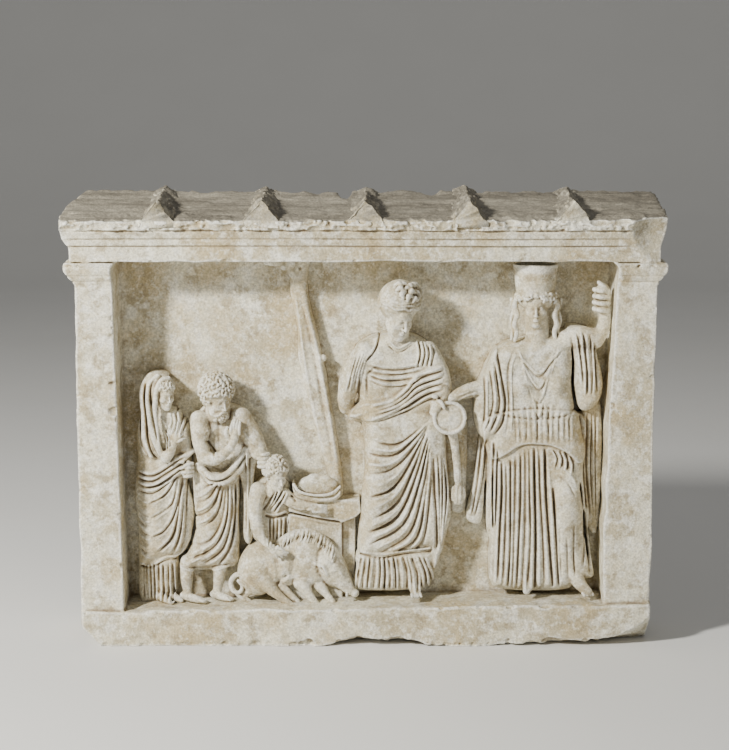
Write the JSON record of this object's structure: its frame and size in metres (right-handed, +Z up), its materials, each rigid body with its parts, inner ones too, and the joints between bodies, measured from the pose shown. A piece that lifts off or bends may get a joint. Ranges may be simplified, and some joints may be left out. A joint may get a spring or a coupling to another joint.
{
  "type": "carved marble votive relief",
  "caption": "Marble votive relief in the form of a small shrine front: deep carved field with standing figures, a boar and an altar, between pilasters under a tiled roof.",
  "frame": {"origin": "middle of the flat underside, halfway between front and back", "axes": "+X to the right along the front, +Y from the carved front to the plain back, +Z up"},
  "size_m": [0.748, 0.137, 0.5772],
  "materials": {
    "marble": "weathered matt marble, warm ivory with ochre and brown patina, paler where chipped"
  },
  "bodies": {
    "root": {"votive_relief": "marble"}
  },
  "joints": []
}
